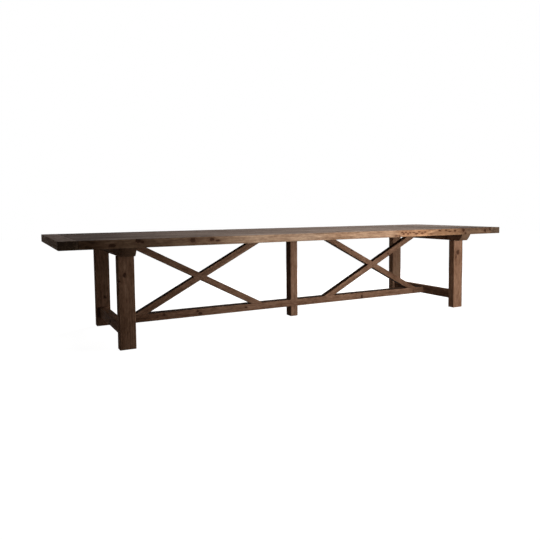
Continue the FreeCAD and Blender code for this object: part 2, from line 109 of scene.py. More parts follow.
def makeTimberFinish(name, finish):
    # Old softwood, planed by hand, stained and waxed. The stain gives long bands of brown, the
    # growth rings give flames on the flat and arcs on the ends, the knots are dark with bent
    # grain round them, and the wax leaves a low sheen that the open grain breaks up.
    # The point attributes say where each timber's pith and knots are: grain is the place along
    # the timber and from its pith, knotA to knotD the offsets and radius of the knots nearby.
    material = bpy.data.materials.new(name)
    add = startNodes(material)
    grain = add("Attribute", output="Vector", attribute_name="grain")
    along, across, through = add("SeparateXYZ", {0: grain}, None).outputs
    scale, least, most = finish["ragged"]
    ragged = add("TexNoise", {"Vector": grain, "Scale": scale, "Detail": 2.0}, "Fac")
    ragged = add("MapRange", {0: ragged, 1: noiseSpan[0], 2: noiseSpan[1], 3: least, 4: most})
    knotMask, halo, nearest = 0.0, 0.0, 99.0
    for layer in knotLayers:
        offset = add("Attribute", output="Vector", attribute_name=layer)
        aside, signedRadius = add("SeparateXYZ", {0: offset}, None).outputs[1:]
        flat = add("VectorMath", {0: offset, 1: (1, 1, 0)}, operation="MULTIPLY")
        distance = add("VectorMath", {0: flat}, "Value", operation="LENGTH")
        radius = add("Math", {0: signedRadius}, operation="ABSOLUTE")
        radius = add("Math", {0: radius, 1: finish["leastKnot"]}, operation="MAXIMUM")
        ratio = add("Math", {0: distance, 1: radius}, operation="DIVIDE")
        ratio = add("Math", {0: ratio, 1: ragged}, operation="MULTIPLY")
        # Grain parts round a knot as water does round a pier, and closes again behind it.
        flow = add("Math", {0: ratio, 1: 1.0}, operation="MAXIMUM")
        flow = add("Math", {0: flow, 1: 2.0}, operation="POWER")
        flow = add("Math", {0: 1.0, 1: flow}, operation="DIVIDE")
        flow = add("Math", {0: flow, 1: finish["parting"]}, operation="SUBTRACT", use_clamp=True)
        shift = add("Math", {0: aside, 1: flow}, operation="MULTIPLY")
        # The radius is positive on a face that looks through the timber, negative across it.
        facing = add("Math", {0: signedRadius, 1: 0.0}, operation="GREATER_THAN")
        shiftAcross = add("Math", {0: shift, 1: facing}, operation="MULTIPLY")
        shiftThrough = add("Math", {0: shift, 1: shiftAcross}, operation="SUBTRACT")
        across = add("Math", {0: across, 1: shiftAcross}, operation="SUBTRACT")
        through = add("Math", {0: through, 1: shiftThrough}, operation="SUBTRACT")
        inner, outer = finish["knotEdge"]
        mask = add("MapRange", {0: ratio, 1: inner, 2: outer, 3: 1.0, 4: 0.0},
                   interpolation_type="SMOOTHSTEP")
        inner, outer = finish["haloEdge"]
        ring = add("MapRange", {0: ratio, 1: inner, 2: outer, 3: 1.0, 4: 0.0})
        knotMask = add("Math", {0: knotMask, 1: mask}, operation="MAXIMUM")
        halo = add("Math", {0: halo, 1: ring}, operation="MAXIMUM")
        nearest = add("Math", {0: nearest, 1: ratio}, operation="MINIMUM")

    straight = add("CombineXYZ", {0: along, 1: across, 2: through})
    # The stem wasn't straight: a slow wander of 2 cm over a metre opens the rings into flames.
    scale, detail, reach = finish["wander"]
    wander = add("VectorMath", {0: straight, 1: scale}, operation="MULTIPLY")
    wander = add("TexNoise", {"Vector": wander, "Scale": 1.0, "Detail": detail}, "Color")
    bent = add("VectorMath", {0: wander, 1: reach}, operation="MULTIPLY")
    bent = add("VectorMath", {0: straight, 1: bent}, operation="ADD")
    section = add("VectorMath", {0: bent, 1: (0.0, 1.0, 1.0)}, operation="MULTIPLY")
    radial = add("VectorMath", {0: section}, "Value", operation="LENGTH")
    # Rings of old pine are 2 to 5 mm apart, drawn coarser so that they show at this size.
    phase = add("Math", {0: radial, 1: 2 * math.pi / finish["ringSpacing"]}, operation="MULTIPLY")
    rings = add("Math", {0: phase}, operation="SINE")

    # Patches of 250 by 110 mm where the stain took unevenly, bands of 30 mm, mottling of 70 by
    # 20 mm, flecks of 25 by 9 mm, grain streaks of 8 mm and pores of 1.5 mm, all along the grain.
    value = add("Attribute", output="Fac", attribute_name="tone")
    swings = {}
    for label, (scale, detail, share) in finish["patterns"].items():
        stretched = straight if label == "blotch" else bent
        stretched = add("VectorMath", {0: stretched, 1: scale}, operation="MULTIPLY")
        texture = {"Vector": stretched, "Scale": 1.0, "Detail": detail,
                   "Roughness": finish["patternRoughness"]}
        swings[label] = add("Math", {0: add("TexNoise", texture, "Fac"), 1: 0.5}, operation="SUBTRACT")
        value = add("Math", {0: swings[label], 1: share, 2: value}, operation="MULTIPLY_ADD")
    value = add("Math", {0: rings, 1: -finish["ringShare"] / 2, 2: value}, operation="MULTIPLY_ADD")
    ramp = add("ValToRGB", {0: value}, None)
    stops = ramp.color_ramp.elements
    for index, (position, tone) in enumerate(finish["tones"]):
        stop = stops[index] if index < 2 else stops.new(position)
        stop.position, stop.color = position, toLinear(tone)
    colour = ramp.outputs[0]

    gain, floor = finish["haloStreaks"]
    streaky = add("Math", {0: swings["streak"], 1: gain, 2: floor}, operation="MULTIPLY_ADD")
    haloShare = add("Math", {0: halo, 1: 2.0}, operation="POWER")
    haloShare = add("Math", {0: haloShare, 1: streaky}, operation="MULTIPLY", use_clamp=True)
    colour = add("Mix", {0: haloShare, 6: colour, 7: toLinear(finish["halo"])}, 2, data_type="RGBA")
    # A knot's own rings, three and a half to its radius.
    knotRings = add("Math", {0: nearest, 1: finish["knotRingRate"]}, operation="MULTIPLY")
    knotRings = add("MapRange", {0: add("Math", {0: knotRings}, operation="SINE"), 1: -1.0, 2: 1.0})
    core, ring = toLinear(finish["knotCore"]), toLinear(finish["knotRing"])
    knotColour = add("Mix", {0: knotRings, 6: core, 7: ring}, 2, data_type="RGBA")
    knotShare = add("Math", {0: knotMask, 1: finish["knotShare"]}, operation="MULTIPLY")
    colour = add("Mix", {0: knotShare, 6: colour, 7: knotColour}, 2, data_type="RGBA")
    # Warmth below zero cools the colour; on the tops this is painted sheen.
    warmth = add("Attribute", output="Fac", attribute_name="warmth")
    for key, sign in (("warm", 1), ("coolAndSheen", -1)):
        share = add("Math", {0: warmth, 1: sign}, operation="MULTIPLY", use_clamp=True)
        colour = add("Mix", {0: share, 6: colour, 7: toLinear(finish[key])}, 2, data_type="RGBA",
                     blend_type="MULTIPLY")
    # Wear below zero mixes towards the dirt colour: real dirt in checks and joints, painted shade on upper
    # faces, undersides and left faces.
    wearAndShade = add("Attribute", output="Fac", attribute_name="wearAndShade")
    for key, most in (("worn", finish["wornShare"]), ("dirtAndShade", -finish["dirtAndShadeShare"])):
        share = add("Math", {0: wearAndShade, 1: most}, operation="MULTIPLY", use_clamp=True)
        colour = add("Mix", {0: share, 6: colour, 7: toLinear(finish[key])}, 2, data_type="RGBA")

    smooth, rough = finish["roughness"]
    first, last = finish["roughSpan"]
    rough = add("MapRange", {0: swings["streak"], 1: first, 2: last, 3: smooth, 4: rough})
    # Soft early wood wears below the hard lines, about half a millimetre on a table this old.
    height = add("Math", {0: rings, 1: finish["ringHeight"], 2: swings["streak"]}, operation="MULTIPLY_ADD")
    height = add("Math", {0: swings["fine"], 1: finish["fineHeight"], 2: height}, operation="MULTIPLY_ADD")
    knotHeight = add("Math", {0: knotRings, 1: finish["knotHeight"]}, operation="MULTIPLY")
    height = add("Math", {0: knotMask, 1: knotHeight, 2: height}, operation="MULTIPLY_ADD")
    strength, deep = finish["bump"]
    bump = add("Bump", {"Height": height, "Strength": strength, "Distance": deep})
    shader = add("BsdfPrincipled", {"Base Color": colour, "Roughness": rough, "Normal": bump,
                                    "IOR": finish["ior"], "Specular IOR Level": finish["specular"]})
    add("OutputMaterial", {0: shader}, None)
    return material


topTimber = makeTimberFinish("stainedPineTop", topFinish)
baseTimber = makeTimberFinish("stainedPineBase", baseFinish)
print("timber finishes made")


# How a timber is sawn, worn and marked

grainTurns = {  # columns are the timber's own axes: along the grain, across, through
    "x": Matrix(((1, 0, 0), (0, 1, 0), (0, 0, 1))),
    "y": Matrix(((0, 0, 1), (1, 0, 0), (0, 1, 0))),
    "z": Matrix(((0, 1, 0), (0, 0, 1), (1, 0, 0))),
}
timberHabits = {  # what every timber does unless its own dictionary says otherwise
    "arris": 0.0025,  # how far its long edges are rubbed down
    "easedEnds": (-1, 1),  # which ends have their edges rubbed down too
    "stepAlong": 0.016, "stepAcross": 0.016,
    "waviness": 0.0006,  # hollows and swells left by the plane
    "swells": True,  # False where nothing may rise above the sawn size
    "chips": 0.0016,  # losses along the arrises
    "dents": 0.0012,
    "tone": 0.5,
    "warmth": 0.0,
    "pith": (0.02, -0.09),  # the pith, from the timber's middle
    "knots": [],  # each: a point on its face, radius, length to width, and reach into the wood
    "strayKnots": 2, "strayRadius": (0.005, 0.011),
    "checks": [],  # each: axis and side of its face, place across, from, to, width, depth
    "rubbed": 1.0,  # how much paler or dirtier its arrises are
    "stains": [],  # stains, and painted shade where the light falls off: each: place along, half length, lighter or darker, and redder
    "faceStains": [],  # painted sheen and shade on one face: each: axis and side of its face, redder, lighter, and shaded towards the dirt colour
    "joined": (),  # each: axis and side of a face that meets another timber and so stays flat
    "clips": [], "cutters": [],
}
tooling = {
    "segments": 32, "slack": 0.0002,  # of a round cutter, and of a lap in its housing
    "arrisAngle": 40, "arrisSegments": 3, "shadeAngle": 32,  # angles in degrees
    "acrossRun": 0.9,  # an edge whose direction has less than this along the timber is at its end
    "weld": 0.00002,  # points nearer to a saw cut than this lie on it
    "clearOfArris": 1.1,  # saw cuts keep this far from an end, in widths of the arris
    "knotCuts": (-1.3, -0.7, 0.0, 0.7, 1.3),  # where a knot is cut across, so that it can sink, in radii
}
strayHabits = {
    "alongShare": 0.94, "acrossShare": 0.6,  # how far from the middle they may be
    "stretch": (1.0, 1.5), "reach": (0.6, 1.6),
    "frontFacing": -0.5,  # a face whose normal has less than this in Y is seen from the front
    "clearOfListed": 9, "clearOfStray": 5,  # in radii
}
weathering = {  # noise scales are per metre along, across and through
    "driftRange": 40,  # each timber reads the noise at its own place
    "endFacing": 0.7, "flatFacing": 0.98,  # a normal's part along the timber, and its largest part
    "hollowScale": (6, 18, 18), "dentScale": (22, 40, 40), "dentFrom": 0.38, "dentGain": 2,
    "chipScale": (34, 9, 9), "splinterScale": (110, 9, 0), "splinterShare": 0.5,
    "wearScale": (9, 6, 6), "wearMiddle": 0.35, "wearSpread": 0.9,
    "knotReach": 4.5, "knotSink": 0.0011, "knotSkin": 0.001,  # in radii, and in metres
    "checkSkin": 0.0004, "checkTaper": 0.6, "checkWander": 0.004, "checkScale": (14, 0, 30),
    "checkReach": 0.6, "crackReach": 0.1,  # in widths of the check, from its middle
    "skin": 0.0012,  # how deep a face's painted sheen and shade go
    "jointSkin": 0.0015, "jointDirt": 0.9,
    "endStain": 0.22, "endShare": 0.4,  # end grain drinks more stain and keeps its shape better
}


def everything(bm):
    return bm.verts[:] + bm.edges[:] + bm.faces[:]


def clipTimber(bm, point, normal):  # saws off what lies beyond the plane and closes the end
    cut = bmesh.ops.bisect_plane(bm, geom=everything(bm), plane_co=point, plane_no=normal, clear_outer=True)
    rim = [item for item in cut["geom_cut"] if isinstance(item, bmesh.types.BMEdge)]
    bmesh.ops.contextual_create(bm, geom=rim)


def carveTimber(bm, cutters, toTimber):
    # Cutters stand in the table's frame: a matrix with a size for a box, or a radius and depth.
    tool = bmesh.new()
    for matrix, shape in cutters:
        if len(shape) == 3:
            boxed = toTimber @ matrix @ Matrix.Diagonal((*shape, 1))
            bmesh.ops.create_cube(tool, size=1, matrix=boxed)
        else:
            radius, depth = shape
            bmesh.ops.create_cone(tool, cap_ends=True, segments=tooling["segments"], radius1=radius,
                                  radius2=radius, depth=2 * depth, matrix=toTimber @ matrix)
    bmesh.ops.recalc_face_normals(tool, faces=tool.faces)
    stand = []
    for source, label in ((bm, "stock"), (tool, "tool")):
        mesh = bpy.data.meshes.new(label)
        source.to_mesh(mesh)
        stand.append(newObject(label, mesh))
    carve = stand[0].modifiers.new("carve", "BOOLEAN")
    carve.operation, carve.solver, carve.object = "DIFFERENCE", "EXACT", stand[1]
    shaped = stand[0].evaluated_get(bpy.context.evaluated_depsgraph_get())
    bm.clear()
    bm.from_mesh(shaped.to_mesh())
    shaped.to_mesh_clear()
    for item in stand:
        mesh = item.data
        bpy.data.objects.remove(item)
        bpy.data.meshes.remove(mesh)
    tool.free()


def sliceTimber(bm, axis, places):  # cuts it across without taking anything away
    normal = Vector((axis == 0, axis == 1, axis == 2))
    for spot in sorted(set(round(p, 5) for p in places)):
        bmesh.ops.bisect_plane(bm, geom=everything(bm), dist=tooling["weld"], plane_co=normal * spot,
                               plane_no=normal)


def evenCuts(half, step):
    count = max(1, round(2 * half / step))
    return [-half + 2 * half * number / count for number in range(1, count)]


def settleKnots(inverse, half, spec, rng):
    # Turns the listed knots into the timber's own axes and adds seeded stray ones, clear of them
    # and off the front, where the photograph shows each knot that there is.
    knots = []
    for point, radius, stretch, reach in spec["knots"]:
        local = inverse @ Vector(point)
        axis = min((1, 2), key=lambda a: half[a] - abs(local[a]))
        knots.append({"axis": axis, "side": math.copysign(1, local[axis]), "u": local[0],
                      "q": local[3 - axis], "radius": radius, "stretch": stretch, "reach": reach})
    listed = len(knots)
    for _ in range(spec["strayKnots"]):
        axis = 1 if rng.random() < half[2] / (half[1] + half[2]) else 2
        u = rng.uniform(-strayHabits["alongShare"], strayHabits["alongShare"]) * half[0]
        q = rng.uniform(-strayHabits["acrossShare"], strayHabits["acrossShare"]) * half[3 - axis]
        radius, side = rng.uniform(*spec["strayRadius"]), rng.choice((-1, 1))
        stretch = rng.uniform(*strayHabits["stretch"])
        reach = rng.uniform(*strayHabits["reach"]) * half[axis]
        facing = inverse.to_3x3().transposed() @ Vector((0, side * (axis == 1), side * (axis == 2)))
        clear = True
        for number, other in enumerate(knots):
            space = strayHabits["clearOfListed" if number < listed else "clearOfStray"]
            clear = clear and abs(u - other["u"]) > space * (radius + other["radius"])
        if clear and facing.y > strayHabits["frontFacing"]:
            knots.append({"axis": axis, "side": side, "u": u, "q": q, "radius": radius,
                          "stretch": stretch, "reach": reach})
    return sorted(knots, key=lambda knot: knot["u"])


def noiseAt(place, scale, drift):
    return noise.noise(Vector([part * rate + shift for part, rate, shift in zip(place, scale, drift)]))


def nearestKnot(place, half, knots):
    # The offsets from the nearest knot with its radius at this depth, and how far the point sinks.
    found, nearest, sink = Vector((1, 1, 0)), weathering["knotReach"], 0.0
    for knot in knots:
        axis = knot["axis"]
        depth = half[axis] - knot["side"] * place[axis]
        du = (place[0] - knot["u"]) / knot["stretch"]
        dq = place[3 - axis] - knot["q"]
        radius = knot["radius"] * (1 - depth / knot["reach"])
        away = math.hypot(du, dq) / knot["radius"]
        if radius > 0 and away < nearest:
            nearest = away
            found = Vector((du, dq, radius if axis == 2 else -radius))
            if depth < weathering["knotSkin"]:
                sink += weathering["knotSink"] * math.exp(-away ** 2)
    return found, sink


def openCheck(place, half, check, drift):
    # How far a point near a drying check shifts sideways and sinks, and how wide it stands open.
    axis, faceSide, spot, start, stop, width, depth = check
    fromLine = abs(place[3 - axis] - spot)
    onFace = abs(place[axis] - faceSide * half[axis]) < weathering["checkSkin"]
    if not (onFace and start < place[0] < stop and fromLine < weathering["checkReach"] * width):
        return 0.0, 0.0, 0.0
    share = (place[0] - start) / (stop - start)
    opening = math.sin(math.pi * share) ** weathering["checkTaper"]
    wander = noiseAt((place[0], 0, spot), weathering["checkScale"], (0, drift, 0))
    inCrack = fromLine < weathering["crackReach"] * width
    return opening * weathering["checkWander"] * wander, depth * opening * inCrack, opening * inCrack


def weather(bm, half, spec, knots, rng):
    # Moves each point inwards for hollows, dents, chipped arrises, sunk knots and open checks,
    # and writes the attributes that the finish reads.
    store = bm.verts.layers
    vectors = {name: store.float_vector.new(name) for name in ("grain", *knotLayers)}
    toneLayer, wearAndShadeLayer, warmLayer = (store.float.new(name) for name in ("tone", "wearAndShade", "warmth"))
    bm.normal_update()
    drift = rng.uniform(0, weathering["driftRange"])
    pith = spec["pith"]
    moves = []
    for vert in bm.verts:
        place, normal = vert.co.copy(), vert.normal.copy()
        wearAndShade, side = 0.0, Vector()
        endOn = abs(normal[0]) > weathering["endFacing"]
        hollow = noiseAt(place, weathering["hollowScale"], (drift, 0, 0))
        inward = spec["waviness"] * 0.5 * (hollow if spec["swells"] and not endOn else hollow + 1)
        dent = noiseAt(place, weathering["dentScale"], (drift, drift, 0)) - weathering["dentFrom"]
        inward += spec["dents"] * max(0.0, dent) * weathering["dentGain"]
        if max(abs(part) for part in normal) < weathering["flatFacing"]:  # the point is on an arris
            chip = noiseAt(place, weathering["chipScale"], (-drift, 0, 0))
            chip += weathering["splinterShare"] * noiseAt(place, weathering["splinterScale"], (0, 0, drift))
            inward += spec["chips"] * max(0.0, chip)
            rub = noiseAt(place, weathering["wearScale"], (drift, 0, -drift))
            rub = weathering["wearMiddle"] + weathering["wearSpread"] * rub
            wearAndShade = min(1.0, rub) * spec["rubbed"]
        for number, layer in enumerate(knotLayers):
            vert[vectors[layer]], sink = nearestKnot(place, half, knots[number::len(knotLayers)])
            inward += sink
        for check in spec["checks"]:
            shift, sink, opening = openCheck(place, half, check, drift)
            side[3 - check[0]] += shift
            inward += sink
            wearAndShade = -opening if opening else wearAndShade
        tone, warmth = spec["tone"], spec["warmth"]
        # Some of these stains are painted shade, darkening the timber where the light falls off.
        for spot, reach, lighter, redder in spec["stains"]:
            share = max(0.0, 1 - abs(place[0] - spot) / reach)
            share *= share * (3 - 2 * share)
            tone += lighter * share
            warmth += redder * share
        # Each face entry paints light on one face: sheen on the tops, shade on upper faces, undersides and
        # left faces.
        for axis, faceSide, redder, lighter, shaded in spec["faceStains"]:
            if place[axis] * faceSide > half[axis] - weathering["skin"]:
                tone, warmth, wearAndShade = tone + lighter, redder, wearAndShade - shaded
        gap = min((half[axis] - faceSide * place[axis] for axis, faceSide in spec["joined"]), default=1.0)
        if gap < weathering["jointSkin"]:
            inward, wearAndShade = 0.0, -weathering["jointDirt"]  # the joint stays shut, and dirt lies in it
        if endOn:
            inward *= weathering["endShare"]
            tone -= weathering["endStain"]
        vert[vectors["grain"]] = Vector((place[0] + drift, place[1] - pith[0], place[2] - pith[1]))
        vert[toneLayer], vert[wearAndShadeLayer], vert[warmLayer] = tone, wearAndShade, min(1.0, max(-1.0, warmth))
        moves.append(side - normal * inward)
    for vert, move in zip(bm.verts, moves):
        vert.co += move


def sawTimber(size, spec, toTimber):  # the clean timber, with rubbed arrises and its housings cut
    bm = bmesh.new()
    bmesh.ops.create_cube(bm, size=1)
    bmesh.ops.scale(bm, vec=size, verts=bm.verts)
    for point, normal in spec["clips"]:
        clipTimber(bm, toTimber @ Vector(point), toTimber.to_3x3() @ Vector(normal))
    bm.normal_update()
    arrises = []
    for edge in bm.edges:
        middle = (edge.verts[0].co + edge.verts[1].co) / 2
        run = (edge.verts[1].co - edge.verts[0].co).normalized()
        across = abs(run[0]) < tooling["acrossRun"]
        atEnd = across and math.copysign(1, middle[0]) not in spec["easedEnds"]
        if edge.is_convex and edge.calc_face_angle(0) > math.radians(tooling["arrisAngle"]) and not atEnd:
            arrises.append(edge)
    bmesh.ops.bevel(bm, geom=arrises, offset=spec["arris"], offset_type="OFFSET",
                    segments=tooling["arrisSegments"], profile=0.5, affect="EDGES", material=-1)
    if spec["cutters"]:
        carveTimber(bm, spec["cutters"], toTimber)
    return bm


def divideTimber(bm, half, spec, knots):  # gives it the points that weather moves
    cuts = {0: evenCuts(half[0], spec["stepAlong"]), 1: evenCuts(half[1], spec["stepAcross"]),
            2: evenCuts(half[2], spec["stepAcross"])}
    for knot in knots:
        rings = [share * knot["radius"] for share in tooling["knotCuts"]]
        cuts[0] += [knot["u"] + ring * knot["stretch"] for ring in rings]
        cuts[3 - knot["axis"]] += [knot["q"] + ring for ring in rings]
    for axis, _, spot, _, _, width, _ in spec["checks"]:
        cuts[3 - axis] += [spot - width / 2, spot, spot + width / 2]
    keep = spec["arris"] * tooling["clearOfArris"]
    for axis in range(3):
        sliceTimber(bm, axis, [c for c in cuts[axis] if abs(c) < half[axis] - keep])


def makeTimber(name, nodes, turn, centre, size, finish, slot, **own):
    spec = {**timberHabits, **own}
    rng = random.Random(name)
    toTable = Matrix.Translation(centre) @ turn.to_4x4()
    toTimber = toTable.inverted()
    half = [length / 2 for length in size]
    bm = sawTimber(size, spec, toTimber)
    knots = settleKnots(toTimber, half, spec, rng)
    divideTimber(bm, half, spec, knots)
    weather(bm, half, spec, knots, rng)
    bmesh.ops.transform(bm, matrix=toTable, verts=bm.verts)
    bm.normal_update()
    for face in bm.faces:
        face.smooth = True
    for edge in bm.edges:
        edge.smooth = edge.calc_face_angle(0) < math.radians(tooling["shadeAngle"])
    mesh = bpy.data.meshes.new(name)
    bm.to_mesh(mesh)
    bm.free()
    mesh.materials.append(finish)
    piece = newObject(name, mesh)
    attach(piece, "root")
    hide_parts(*nodes)


# The top: six boards and two breadboard ends

topBoards = {
    "count": 6, "length": 3.76, "width": 0.2, "thickness": 0.06, "top": 0.77, "front": -0.6,
    "step": 0.02, "arris": 0.0026, "rubbed": 0.45, "strayKnots": 7, "strayRadius": (0.007, 0.017),
    "piths": [(0.03, -0.11), (-0.06, -0.05), (0.05, -0.13), (-0.02, -0.09), (0.07, -0.06), (-0.04, -0.12)],
    "tones": [0.56, 0.50, 0.58, 0.47, 0.55, 0.50], "warmths": [0.40, 0.1, 0.0, 0.15, 0.0, 0.1],
    "sheenTint": -0.9, "paler": [0.0, 0.15, 0.15, 0.15, 0.15, 0.1],  # painted sheen: the tops are made greyer and paler, for the grazing reflection of the white backdrop
    "edgeKnots": [  # on the front board's edge: x, z, radius, length to width, and reach
        (-1.670, 0.732, 0.011, 2.6, 0.03), (-1.500, 0.757, 0.014, 1.4, 0.05),
        (-1.474, 0.750, 0.010, 1.3, 0.04), (-1.121, 0.748, 0.015, 1.4, 0.05),
        (-0.980, 0.749, 0.013, 1.3, 0.05), (-0.935, 0.740, 0.006, 2.6, 0.03),
        (1.512, 0.752, 0.0145, 1.2, 0.05), (1.537, 0.722, 0.009, 1.5, 0.04),
        (1.798, 0.740, 0.013, 1.3, 0.05), (1.866, 0.752, 0.009, 1.2, 0.04)],
    "pinKnots": [  # small ones in groups on the same edge: x, z, radius, and length to width
        (0.708, 0.723, 0.006, 2.6), (0.742, 0.721, 0.005, 2.2), (0.772, 0.750, 0.006, 1.8),
        (0.791, 0.738, 0.009, 1.3), (0.816, 0.748, 0.008, 1.4), (0.838, 0.736, 0.008, 1.5),
        (0.862, 0.746, 0.006, 1.9), (0.905, 0.746, 0.005, 3.4), (0.938, 0.735, 0.007, 2.6),
        (0.968, 0.750, 0.005, 3.6), (1.002, 0.738, 0.007, 2.4), (1.040, 0.746, 0.005, 3.0),
        (1.110, 0.727, 0.004, 5.0), (1.212, 0.755, 0.007, 2.0), (1.290, 0.755, 0.006, 1.8),
        (1.335, 0.746, 0.005, 3.6), (1.402, 0.748, 0.008, 1.5)],
    "pinReach": 0.03,
    "leftwardShade": [(-1.70, 0.80, -0.34, 0.15), (-0.50, 0.80, -0.10, 0.0)],  # painted shade: every board darkens to the left, where the light falls off
    "frontStains": [
        (-1.80, 0.12, -0.16, 0.2), (-1.60, 0.28, 0.38, 0.0), (-1.32, 0.28, 0.24, 0.0),
        (-1.05, 0.18, -0.08, 0.1), (-0.60, 0.40, 0.28, -0.15), (-0.18, 0.30, 0.09, -0.25),
        (0.12, 0.22, -0.12, 0.1), (0.82, 0.16, -0.06, 0.5), (1.02, 0.18, 0.12, 0.7),
        (1.28, 0.22, 0.18, 0.8), (1.43, 0.14, 0.15, 0.6), (1.78, 0.45, -0.06, 0.1)],
    "behindShadeAndLight": [(-1.75, 0.45, -0.25, 0.0), (1.85, 0.45, 0.25, 0.0)],  # painted shade and light on all but the front board: darker at the left end, lighter at the right
    # Painted shade: the back board darker still towards the left.
    "backShade": [(-1.40, 1.20, -0.26, 0.0)],
    "checks": [
        [(1, -1, 0.0235, -0.13, 0.06, 0.007, 0.005), (1, -1, 0.0235, 0.20, 0.33, 0.006, 0.004),
         (1, -1, 0.006, 1.20, 1.72, 0.003, 0.004)],
        [(2, 1, 0.03, -1.875, -1.42, 0.004, 0.006)],
        [(2, 1, -0.02, 1.30, 1.876, 0.005, 0.006), (2, 1, 0.05, -0.6, -0.2, 0.003, 0.004)],
        [(2, 1, 0.04, 0.3, 0.72, 0.004, 0.005)],
        [(2, 1, -0.03, 1.40, 1.876, 0.004, 0.006)],
        [(2, 1, 0.02, -1.876, -1.5, 0.004, 0.006), (2, 1, -0.05, -0.1, 0.35, 0.003, 0.004)]],
}
topMiddle = topBoards["top"] - topBoards["thickness"] / 2
frontKnots = [((x, topBoards["front"], z), radius, stretch, reach)
              for x, z, radius, stretch, reach in topBoards["edgeKnots"]]
frontKnots += [((x, topBoards["front"], z), radius, stretch, topBoards["pinReach"])
               for x, z, radius, stretch in topBoards["pinKnots"]]
for number in range(topBoards["count"]):
    middleY = topBoards["front"] + (number + 0.5) * topBoards["width"]
    beside = [(1, way) for way in (-1, 1) if 0 <= number + way < topBoards["count"]]
    isFront, isBack = number == 0, number == topBoards["count"] - 1
    stains = topBoards["leftwardShade"] + topBoards["frontStains" if isFront else "behindShadeAndLight"]
    makeTimber(
        "plank%d" % (number + 1), ["top_board_%d" % (number + 1)], grainTurns["x"], (0, middleY, topMiddle),
        (topBoards["length"], topBoards["width"], topBoards["thickness"]), topTimber, "top_timber",
        stepAlong=topBoards["step"], stepAcross=topBoards["step"], arris=topBoards["arris"], swells=False,
        rubbed=topBoards["rubbed"], tone=topBoards["tones"][number], warmth=topBoards["warmths"][number],
        pith=topBoards["piths"][number], knots=frontKnots if isFront else [],
        strayKnots=topBoards["strayKnots"], strayRadius=topBoards["strayRadius"],
        stains=stains + (topBoards["backShade"] if isBack else []),
        faceStains=[(2, 1, topBoards["sheenTint"], topBoards["paler"][number], 0.0)],
        joined=[(0, -1), (0, 1)] + beside, checks=topBoards["checks"][number])

breadboards = {
    "length": 1.2, "width": 0.12, "middleX": 1.94, "arris": 0.003, "step": 0.02, "pith": (-0.05, -0.03),
    # The left breadboard's darker tone and the right one's lighter tone are painted shade and light,
    # following the fall of the light towards the left end; their paler tops are painted sheen.
    "tones": {-1: 0.24, 1: 0.62}, "paler": {-1: 0.20, 1: 0.45},
    "knots": {-1: [], 1: [((1.985, -0.45, 0.77), 0.012, 1.3, 0.05)]},
    "strayKnots": 4, "strayRadius": (0.007, 0.013),
    "checks": {-1: [(2, -1, 0.006, -0.35, 0.2, 0.004, 0.005)], 1: [(1, 1, 0.02, 0.1, 0.5, 0.004, 0.005)]},
}
for side, word in ((-1, "left"), (1, "right")):
    makeTimber(
        "breadboard" + word.capitalize(), ["breadboard_end_" + word], grainTurns["y"],
        (side * breadboards["middleX"], 0, topMiddle),
        (breadboards["length"], topBoards["thickness"], breadboards["width"]), topTimber, "top_timber",
        stepAlong=breadboards["step"], arris=breadboards["arris"], swells=False,
        tone=breadboards["tones"][side], pith=(breadboards["pith"][0], breadboards["pith"][1] * side),
        knots=breadboards["knots"][side], strayKnots=breadboards["strayKnots"],
        strayRadius=breadboards["strayRadius"], joined=[(2, -side)], checks=breadboards["checks"][side],
        faceStains=[(1, 1, topBoards["sheenTint"], breadboards["paler"][side], 0.0)])
print("top made")


# The two trestles

trestles = {
    "middleX": 1.562, "calm": 0.0004,  # the bearers and cross stretchers are planed flatter
    "legY": 0.455, "legWidth": 0.112, "legDepth": 0.070, "legHeight": 0.65,
    "legArris": 0.003, "legStep": 0.012, "legPith": (0.03, 0.075),
    "legCheck": (0.01, -0.32, -0.12, 0.003, 0.004),  # place across, from, to, width and depth
    # The back right leg's lighter tone is painted light, making up for the light that the front right leg
    # keeps off it.
    "legTones": {"front_left": 0.58, "back_left": 0.60, "front_right": 0.61, "back_right": 0.92},
    "legWarmth": 0.12, "legDirt": (-0.12, 0.06),  # the second is painted shade on their left faces, which look away from the light
    "legKnots": {
        "front_left": [((-1.575, -0.49, 0.522), 0.011, 1.35, 0.05),
                       ((-1.617, -0.487, 0.477), 0.007, 1.2, 0.03)],
        "front_right": [((1.554, -0.49, 0.531), 0.020, 1.15, 0.05),
                        ((1.532, -0.49, 0.498), 0.007, 3.0, 0.03)],
        "back_left": [((-1.55, 0.42, 0.24), 0.008, 1.3, 0.04)],
        "back_right": [],
    },
    "bearerWidth": 0.105, "bearerBottom": 0.65, "bearerTop": 0.71, "bearerTip": 0.59,
    "bearerSlant": 0.043, "bearerBulge": 0.004, "bearerFacets": 3,
    # The bearers' low tone is painted shade: they sit in the shadow of the top.
    "bearerTone": 0.26, "bearerPith": (0.06, 0.05), "bearerKnots": 3,
    "screwPocket": (0.0057, 0.014), "screwYs": (-0.5185, -0.3, -0.1, 0.1, 0.3, 0.5185),
    "crossHalf": 0.42, "crossBottom": 0.081, "crossTop": 0.161, "crossThickness": 0.056,
    # The cross stretchers' low tones, the left one lower, are painted shade on their outer faces, which look
    # away from the light.
    "crossTonesAndShade": {-1: 0.12, 1: 0.36}, "crossPith": (-0.06, -0.05),
    "boltZ": 0.1205, "boltY": 0.024, "counterbore": (0.0124, 0.015),
}


def middleAndHeight(bottom, top):
    return (bottom + top) / 2, top - bottom


